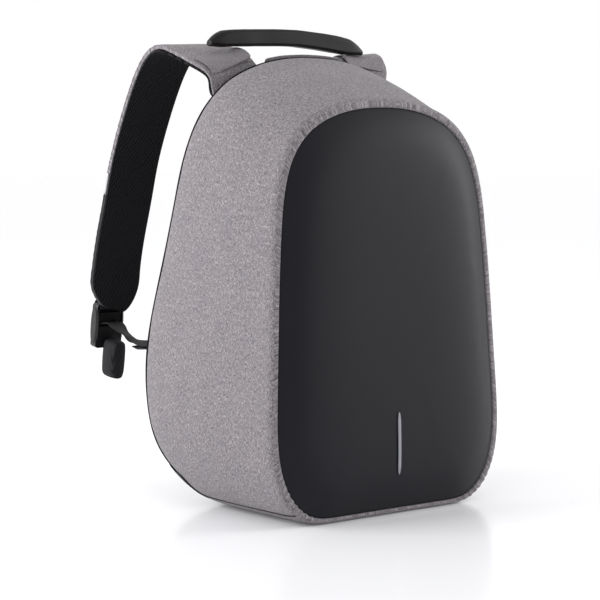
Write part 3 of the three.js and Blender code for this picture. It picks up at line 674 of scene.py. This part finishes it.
def strap_pieces():
    for side, name in ((-1, "left"), (1, "right")):
        cloth = soft_copy("strap_" + name, "strap_cloth_" + name, 3)
        strap_weave(cloth)
        places = corners(cloth.data)
        run = run_along(places[:, 1], places[:, 2], STRAP_MIDDLE)
        middle = (places[:, 0].min() + places[:, 0].max()) / 2
        edge = np.clip(np.abs(places[:, 0] - middle) / 0.03, 0, 1) ** 4
        wrinkle = np.sin((run + 0.7 * places[:, 0]) * math.tau / (11 * MM)) * edge * 0.16 * MM
        set_corners(cloth.data, places + point_normals(cloth.data) * wrinkle[:, None])
        swell(cloth.data, 0.022, 0.35 * MM, 7.0 + side)
        if name == "right":
            settle_right_root(cloth)
            crease(cloth.data, (0.08, 0.085, 0.455), (0.13, 0.1, 0.44), 3.5 * MM, 1.6 * MM)
            crease(cloth.data, (0.085, 0.1, 0.46), (0.132, 0.118, 0.448), 3.5 * MM, 1.3 * MM)
        finish_piece(cloth, STRAP_GREY[name])
        inner = soft_copy("strap_mesh_" + name, "strap_lining_" + name, 3)
        strap_weave(inner)
        finish_piece(inner, MESH_BLACK)
        patch = soft_copy("handle_patch_" + name, "handle_patch_cloth_" + name, 2)
        if name == "right":
            settle_right_root(inner)
            settle_right_root(patch)
        strap_weave(patch)
        finish_piece(patch, STRAP_GREY[name])


def strap_tab():
    piece = soft_copy("strap_tab_left", "strap_tab", 2)
    finish_piece(piece, TAB_LIGHT)


def handle_pad():
    piece = soft_copy("carry_handle", "handle_pad", 3)
    low, high = lo_hi("carry_handle")
    places = corners(piece.data)
    across = (places[:, 0] - low.x) / (high.x - low.x)
    spots = np.linspace(0, 1, 41)
    near = [places[np.abs(across - spot) < 0.035] for spot in spots]
    for axis in (1, 2):
        least = np.interp(across, spots, [group[:, axis].min() for group in near])
        most = np.interp(across, spots, [group[:, axis].max() for group in near])
        middle = (least + most) / 2
        share = (places[:, axis] - middle) / (most - least) * 2
        squared = np.sign(share) * np.minimum(np.abs(share) * HANDLE_SQUARE, 1.0)
        shaped = middle + squared * (most - least) / 2
        inside = np.clip(np.minimum(across, 1 - across) / 0.08, 0, 1)
        places[:, axis] = places[:, axis] + (shaped - places[:, axis]) * inside
    places[:, 2] += MM * np.interp(across, *zip(*HANDLE_BEND))
    set_corners(piece.data, places)
    swell(piece.data, 0.03, 0.4 * MM, 11.0)
    finish_piece(piece, HANDLE_BLACK)


# Strap hardware


def add_cheek(mesh, middle, side):
    """A lens-shaped cheek on one side of an adjuster, leaning with it."""
    cheek = bmesh.new()
    rim = []
    steps = 14
    for step in range(2 * steps):
        turn = math.pi * step / steps
        depth = CHEEK_DEPTH / 2 * math.copysign(abs(math.sin(turn)) ** 0.75, math.sin(turn))
        rim.append(cheek.verts.new((0, depth, CHEEK_HEIGHT / 2 * math.cos(turn))))
    face = cheek.faces.new(rim)
    grown = bmesh.ops.extrude_face_region(cheek, geom=[face])
    moved = [part for part in grown["geom"] if isinstance(part, bmesh.types.BMVert)]
    bmesh.ops.translate(cheek, verts=moved, vec=(side * CHEEK_SHEET, 0, 0))
    bmesh.ops.scale(cheek, verts=moved, vec=(1, 0.72, 0.9))
    bmesh.ops.rotate(cheek, verts=cheek.verts, cent=(0, 0, 0), matrix=Matrix.Rotation(LOCK_LEAN, 3, "X"))
    bmesh.ops.translate(cheek, verts=cheek.verts, vec=middle)
    bmesh.ops.recalc_face_normals(cheek, faces=cheek.faces)
    cheek.from_mesh(mesh)
    cheek.to_mesh(mesh)
    cheek.free()


def ladder_locks():
    for name in ("left", "right"):
        mesh = node_mesh("ladder_lock_" + name, "adjuster_" + name)
        low, high = lo_hi("ladder_lock_" + name)
        for side in (-1, 1):
            edge = low.x if side < 0 else high.x
            add_cheek(mesh, Vector((edge - side * 1.4 * MM, (low.y + high.y) / 2, (low.z + high.z) / 2)), side)
        piece = new_object(mesh, "adjuster_" + name)
        bevel = piece.modifiers.new("moulded_edges", "BEVEL")
        bevel.width = 0.9 * MM
        bevel.segments = 3
        bevel.limit_method = "ANGLE"
        bevel.angle_limit = math.radians(35)
        for face in piece.data.polygons:
            face.use_smooth = True
        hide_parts("ladder_lock_" + name)
        finish_piece(piece, PLASTIC_BLACK)


def threaded_webbing(name):
    """The webbing that lies in the adjuster's slots, seen between its bars."""
    low, high = lo_hi("ladder_lock_" + name)
    shape = bmesh.new()
    bmesh.ops.create_cube(shape, size=1)
    tall = (high.z - low.z) * 0.86
    bmesh.ops.scale(shape, verts=shape.verts, vec=(25.6 * MM, 1.6 * MM, tall))
    bmesh.ops.subdivide_edges(shape, edges=shape.edges, cuts=4, use_grid_fill=True)
    for vert in shape.verts:
        vert.co.y += 1.1 * MM * math.cos(vert.co.z / tall * 3 * math.tau)
    bmesh.ops.rotate(shape, verts=shape.verts, cent=(0, 0, 0), matrix=Matrix.Rotation(LOCK_LEAN, 3, "X"))
    bmesh.ops.translate(shape, verts=shape.verts, vec=(low + high) / 2 + Vector((0, 1 * MM, 0)))
    mesh = bpy.data.meshes.new("webbing_threaded_" + name)
    shape.to_mesh(mesh)
    shape.free()
    piece = new_object(mesh, "webbing_threaded_" + name)
    places = corners(mesh)
    lay_weave(piece, places[:, 0], places[:, 2])
    finish_piece(piece, WEBBING_BLACK)


def webbing_pieces():
    for name in ("left", "right"):
        for node, piece_name in (
            ("lock_loop_", "adjuster_loop_"),
            ("lower_webbing_", "webbing_strap_"),
            ("webbing_anchor_", "webbing_tab_"),
            ("webbing_bundle_", "webbing_roll_"),
        ):
            piece = soft_copy(node + name, piece_name + name, 2, 0.7)
            places = corners(piece.data)
            if piece_name == "webbing_roll_":
                lay_weave(piece, places[:, 2], places[:, 1] + places[:, 0])
            else:
                lay_weave(piece, places[:, 0], places[:, 1] + places[:, 2])
            finish_piece(piece, WEBBING_BLACK)
        threaded_webbing(name)


# Stage


def stage():
    scene = bpy.context.scene
    scene.view_settings.view_transform = "Standard"
    lens = bpy.data.cameras.new("camera")
    lens.lens = CAMERA_LENS
    lens.sensor_width = CAMERA_SENSOR
    lens.clip_start = 0.05
    lens.clip_end = 50
    camera = bpy.data.objects.new("camera", lens)
    camera.location = CAMERA_PLACE
    camera.rotation_mode = "QUATERNION"
    camera.rotation_quaternion = CAMERA_LOOK.to_track_quat("-Z", "Y")
    scene.collection.objects.link(camera)
    scene.camera = camera

    shape = bmesh.new()
    bmesh.ops.create_grid(shape, x_segments=1, y_segments=1, size=8)
    mesh = bpy.data.meshes.new("floor")
    shape.to_mesh(mesh)
    shape.free()
    floor = new_object(mesh, "floor")
    made = Nodes("floor_white")
    made.set(base_color=(0.88, 0.88, 0.905), roughness=0.2, specular_ior_level=0.5)
    made.set(emission_color=(1.0, 1.0, 1.0), emission_strength=0.03)
    floor.data.materials.append(made.material)

    world = bpy.data.worlds.new("studio")
    scene.world = world
    world.use_nodes = True
    tree = world.node_tree
    tree.nodes["Background"].inputs["Color"].default_value = (1, 1, 1, 1)
    tree.nodes["Background"].inputs["Strength"].default_value = SURROUND_LIGHT


def soft_light(name, place, aim, width, height, power):
    lamp = bpy.data.lights.new(name, "AREA")
    lamp.shape = "RECTANGLE"
    lamp.size = width
    lamp.size_y = height
    lamp.energy = power
    light = bpy.data.objects.new(name, lamp)
    light.location = place
    light.rotation_mode = "QUATERNION"
    light.rotation_quaternion = (Vector(aim) - Vector(place)).to_track_quat("-Z", "Y")
    bpy.context.scene.collection.objects.link(light)


stage()
soft_light("right_panel_light", (2.2, -1.15, 0.85), (0, 0, 0.28), 1.2, 1.5, 34)
soft_light("left_rear_light", (-1.95, 1.0, 0.95), (0, 0, 0.25), 1.4, 1.4, 52)

gusset_cloth()
base_cloth()
border_edging()
panel_sheet()
reflective_tape()
base_binding()
body_seams()
back_pad()
yoke_cloth()
strap_pieces()
strap_tab()
handle_pad()
ladder_locks()
webbing_pieces()
